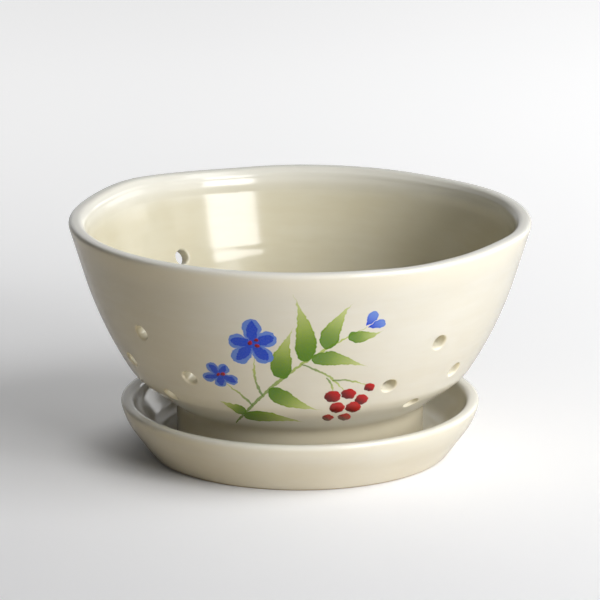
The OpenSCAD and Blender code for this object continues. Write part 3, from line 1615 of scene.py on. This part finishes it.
    def blossom_group(self) -> bpy.types.NodeTree:
        """Build the group that lays a ring of petals over a colour.

        Returns:
            The group.
        """
        inputs = {"Under": COLOUR, "Paper": VECTOR, "Mottle": FLOAT, "Middle": VECTOR}
        inputs |= {"Turn": FLOAT, "Petals": FLOAT, "Radius": FLOAT, "Density": FLOAT}
        inputs |= {"Full": COLOUR, "Thin": COLOUR}
        group = NodeGroup("brushed_blossom", inputs, {"Colour": COLOUR})
        bench, given = group.wiring, group.given
        out = bench.vector("SUBTRACT", given["Paper"], given["Middle"])
        x, y, _ = bench.separate(out)
        radius = bench.vector("LENGTH", bench.vector("MULTIPLY", out, (1.0, 1.0, 0.0)))
        turn = bench.math("ADD", bench.math("ARCTAN2", y, x), given["Turn"])
        slices = bench.math("MULTIPLY", bench.math("DIVIDE", turn, math.tau), given["Petals"])
        number = bench.math("FLOOR", slices)
        within = bench.math("SUBTRACT", bench.math("SUBTRACT", slices, number), 0.5)
        wound = bench.math("MODULO", bench.math("ADD", number, given["Petals"]), given["Petals"])
        stepped = bench.math("MULTIPLY_ADD", wound, self.petal_step, given["Radius"])
        whim = bench.math("SINE", stepped)
        lean = bench.math("MULTIPLY_ADD", whim, self.petal_lean, within)
        angle = bench.math("DIVIDE", bench.math("MULTIPLY", lean, math.tau), given["Petals"])
        along = bench.math("MULTIPLY", radius, bench.math("COSINE", angle))
        off = bench.math("ABSOLUTE", bench.math("MULTIPLY", radius, bench.math("SINE", angle)))
        reach = bench.math("MULTIPLY_ADD", whim, self.petal_reach_change, self.petal_reach)
        length = bench.math("MULTIPLY", reach, given["Radius"])
        share = bench.math("DIVIDE", along, length)
        left = bench.math("SUBTRACT", 1.0, share)
        opening = bench.math("POWER", share, self.petal_start_power)
        closing = bench.math("POWER", left, self.petal_end_power)
        swell = bench.math("MULTIPLY", opening, closing)
        widest = bench.math("MULTIPLY", given["Radius"], self.petal_width)
        half = bench.math("MULTIPLY", swell, widest)
        past = bench.math("MINIMUM", bench.math("MULTIPLY", share, left), 0.0)
        depth = bench.math("MULTIPLY_ADD", past, given["Radius"], bench.math("SUBTRACT", half, off))
        cover = bench.ramp(depth, -self.edge, self.edge)
        uneven = self.uneven(bench, given["Mottle"])
        pool = bench.ramp(depth, self.petal_inside, self.rim_width, self.petal_load, self.rim_load)
        full = bench.math("MULTIPLY", pool, given["Density"])
        load = bench.math("MULTIPLY_ADD", uneven, self.petal_mottle, full, clamp=True)
        narrowing = bench.math("MULTIPLY", share, self.heart_narrows)
        narrow = bench.math("MULTIPLY", given["Radius"], narrowing)
        inner = bench.math("SUBTRACT", depth, narrow)
        dragged = bench.math("MULTIPLY_ADD", uneven, self.heart_drag, inner)
        heart = bench.ramp(dragged, self.heart_from, self.heart_full)
        paint = bench.mix(heart, given["Thin"], given["Full"])
        laid = bench.math("MULTIPLY", cover, load)
        group.give("Colour", bench.mix(laid, given["Under"], paint))
        return group.tree

    def painted(self, bench: Wiring, place: Socket, colour: Socket) -> Socket:
        """Brush the sprig over the glaze's colour.

        Args:
            bench: The material's wiring.
            place: The object coordinates.
            colour: The plain glaze.

        Returns:
            The painted colour.
        """
        front = bench.group(self.paper(), Place=place)
        paper, mottle = front.outputs["Paper"], front.outputs["Mottle"]
        stroke_group, blossom_group = self.stroke_group(), self.blossom_group()
        laid = colour
        for touch in (*self.sprig.strokes, *self.sprig.blossoms, *self.sprig.dots):
            full, thin = touch.pigment.value
            group = stroke_group if isinstance(touch, Stroke) else blossom_group
            laid = bench.group(
                group,
                Under=laid, Paper=paper, Mottle=mottle, Full=full, Thin=thin, **touch.settings(),
            ).outputs["Colour"]
        return laid


@dataclass(frozen=True)
class SoftLamp:
    """A soft rectangular lamp that faces the bowl, and may stay out of its reflections."""

    name: str
    direction: float
    height: float
    distance: float
    width: float
    tall: float
    radiance: float
    mirrored: bool = True

    def hang(self, aim: Vector) -> None:
        """Hang the lamp.

        Args:
            aim: The point that it faces.
        """
        lamp = bpy.data.lights.new(self.name, "AREA")
        lamp.shape = "RECTANGLE"
        lamp.size = self.width
        lamp.size_y = self.tall
        lamp.energy = self.radiance * math.pi * self.width * self.tall
        held = bpy.data.objects.new(self.name, lamp)
        bpy.context.scene.collection.objects.link(held)
        turn, lift = math.radians(self.direction), math.radians(self.height)
        away = Vector(
            (math.cos(turn) * math.cos(lift), math.sin(turn) * math.cos(lift), math.sin(lift))
        )
        held.location = aim + away * self.distance
        held.rotation_euler = away.to_track_quat("Z", "Y").to_euler()
        held.visible_glossy = self.mirrored


@dataclass(frozen=True)
class Studio:
    """A pale floor under soft lamps, and the camera that looks down on the pair.

    The floor glows more from near to far and from its middle to its right, and not in the shade
    under the pair. In reflections the air is dim in front and to the left. The bounds of the air
    are the X and Y of a direction.
    """

    aim_h: float = 62.82 * MM
    look_down: float = 15.07
    away: float = 1.7
    lens: float = 246.8
    sensor: float = 36.0
    floor_half: float = 4.0
    floor_colour: Colour = (0.71, 0.71, 0.72)
    bounce_colour: Colour = (0.80, 0.68, 0.48)
    near: float = -0.59
    far: float = 0.81
    glow_near: float = 0.045
    glow: float = 0.64
    middle_x: float = -0.10
    right_x: float = 0.25
    glow_right: float = 0.075
    shade_middle: tuple[float, float, float] = (-0.024, -0.012, 0.0)
    shade_inner: float = 0.032
    shade_outer: float = 0.080
    mirrored: float = 0.7
    ambient: float = 0.03
    pale: float = 1.0
    dim: float = 0.15
    dim_front: float = -0.2
    pale_back: float = 0.6
    dim_left: float = -0.80
    pale_left: float = -0.25
    lamps: tuple[SoftLamp, ...] = (
        SoftLamp("window", -48, 21, 1.3, 0.70, 0.48, 11.5),
        SoftLamp("side_window", 32, 8, 1.6, 1.4, 0.5, 2.4),
        SoftLamp("low_window", -28, 8, 1.6, 1.0, 0.4, 1.6),
        SoftLamp("high_window", -25, 48, 1.4, 0.9, 0.7, 5.0),
        SoftLamp("left_window", 168, 6, 1.6, 1.2, 0.3, 1.2, mirrored=False),
    )

    @staticmethod
    def light_rays(bench: Wiring, *kinds: str) -> Socket:
        """Give 1 for the named kinds of ray.

        Args:
            bench: The wiring.
            *kinds: Outputs of the Light Path node.

        Returns:
            The sum.
        """
        path = bench.put("ShaderNodeLightPath")
        total = path.outputs[kinds[0]]
        for kind in kinds[1:]:
            total = bench.math("ADD", total, path.outputs[kind], clamp=True)
        return total

    def lay_floor(self) -> None:
        """Lay the floor, whose own brightness shows to the camera and in reflections."""
        bm = bmesh.new()
        bmesh.ops.create_grid(bm, x_segments=2, y_segments=2, size=self.floor_half)
        mesh = bpy.data.meshes.new("floor")
        bm.to_mesh(mesh)
        bm.free()
        floor = bpy.data.objects.new("floor", mesh)
        bpy.context.scene.collection.objects.link(floor)
        made = bpy.data.materials.new("pale_floor")
        made.use_nodes = True
        made.node_tree.nodes.clear()
        bench = Wiring(made.node_tree)
        place = bench.put("ShaderNodeTexCoord").outputs["Object"]
        across, along, _ = bench.separate(place)
        bright = bench.math(
            "ADD",
            bench.ramp(along, self.near, self.far, self.glow_near, self.glow),
            bench.ramp(across, self.middle_x, self.right_x, 0.0, self.glow_right),
        )
        off = bench.vector("DISTANCE", place, self.shade_middle)
        unshaded = bench.ramp(off, self.shade_inner, self.shade_outer)
        lit = bench.math("MULTIPLY", bright, unshaded)
        share = self.light_rays(bench, "Is Camera Ray", "Is Glossy Ray", "Is Transmission Ray")
        held = bench.math("MULTIPLY", self.light_rays(bench, "Is Glossy Ray"), 1 - self.mirrored)
        kept = bench.math("SUBTRACT", share, held)
        glow = bench.put("ShaderNodeEmission")
        bench.feed(glow.inputs["Strength"], bench.math("MULTIPLY", kept, lit))
        matt = bench.put("ShaderNodeBsdfDiffuse")
        colour = bench.mix(share, self.bounce_colour, self.floor_colour)
        bench.feed(matt.inputs["Color"], bench.mix(held, colour, (0.0, 0.0, 0.0)))
        blend = bench.put("ShaderNodeAddShader")
        bench.feed(blend.inputs[0], matt.outputs[0])
        bench.feed(blend.inputs[1], glow.outputs[0])
        end = bench.put("ShaderNodeOutputMaterial")
        bench.feed(end.inputs["Surface"], blend.outputs[0])
        mesh.materials.append(made)

    def fill_air(self) -> None:
        """Give the world a plain ambient light, pale to the camera and in reflections."""
        world = bpy.data.worlds.new("studio_air")
        world.use_nodes = True
        world.node_tree.nodes.clear()
        bench = Wiring(world.node_tree)
        across, facing, _ = bench.separate(bench.put("ShaderNodeTexCoord").outputs["Generated"])
        mirrored = bench.put("ShaderNodeBackground")
        behind = bench.ramp(facing, self.dim_front, self.pale_back, self.dim, self.pale)
        beside = bench.ramp(across, self.dim_left, self.pale_left, self.dim, self.pale)
        bench.feed(mirrored.inputs["Strength"], bench.math("MULTIPLY", behind, beside))
        seen = bench.put("ShaderNodeBackground")
        seen.inputs["Strength"].default_value = self.pale
        soft = bench.put("ShaderNodeBackground")
        soft.inputs["Strength"].default_value = self.ambient
        first = bench.put("ShaderNodeMixShader")
        bench.feed(first.inputs[0], self.light_rays(bench, "Is Glossy Ray"))
        bench.feed(first.inputs[1], soft.outputs[0])
        bench.feed(first.inputs[2], mirrored.outputs[0])
        second = bench.put("ShaderNodeMixShader")
        bench.feed(second.inputs[0], self.light_rays(bench, "Is Camera Ray", "Is Transmission Ray"))
        bench.feed(second.inputs[1], first.outputs[0])
        bench.feed(second.inputs[2], seen.outputs[0])
        end = bench.put("ShaderNodeOutputWorld")
        bench.feed(end.inputs["Surface"], second.outputs[0])
        bpy.context.scene.world = world

    def set_camera(self) -> None:
        """Set the camera on the bowl's front, looking down as the photograph does."""
        lens = bpy.data.cameras.new("front_camera")
        lens.sensor_width = self.sensor
        lens.sensor_fit = "HORIZONTAL"
        lens.lens = self.lens
        camera = bpy.data.objects.new("front_camera", lens)
        bpy.context.scene.collection.objects.link(camera)
        down = math.radians(self.look_down)
        camera.location = (
            0,
            -self.away * math.cos(down),
            self.aim_h + self.away * math.sin(down),
        )
        camera.rotation_euler = (math.pi / 2 - down, 0, 0)
        bpy.context.scene.camera = camera

    def build(self) -> None:
        """Set up the floor, the lamps, the air and the camera."""
        self.lay_floor()
        self.fill_air()
        for lamp in self.lamps:
            lamp.hang(Vector((0, 0, self.aim_h)))
        self.set_camera()
        bpy.context.scene.view_settings.view_transform = "Standard"


def main() -> None:
    """Build the pair and the studio."""
    logging.basicConfig(level=logging.INFO, format="%(name)s: %(message)s")
    Studio().build()
    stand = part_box(BOWL_NODE)[0].z
    bowl = ColanderBowl(
        "glazed_bowl",
        BOWL_NODE,
        BOWL_BODY,
        stand=stand,
        swells=(
            Swell(142, 15, 1.65 * MM),
            Swell(108, 10, -0.45 * MM),
            Swell(50, 16, -0.6 * MM),
            Swell(-30, 13, 0.8 * MM),
            Swell(-61, 9, -0.4 * MM),
        ),
    )
    bowl.build()
    saucer = DripSaucer("glazed_saucer", SAUCER_NODE, SAUCER_BODY)
    saucer.build()
    effects = GlazeEffects()
    bowl.take_place(PaintedGlaze(effects).material())
    saucer.take_place(CreamGlaze(effects).material())


if __name__ == "__main__":
    main()
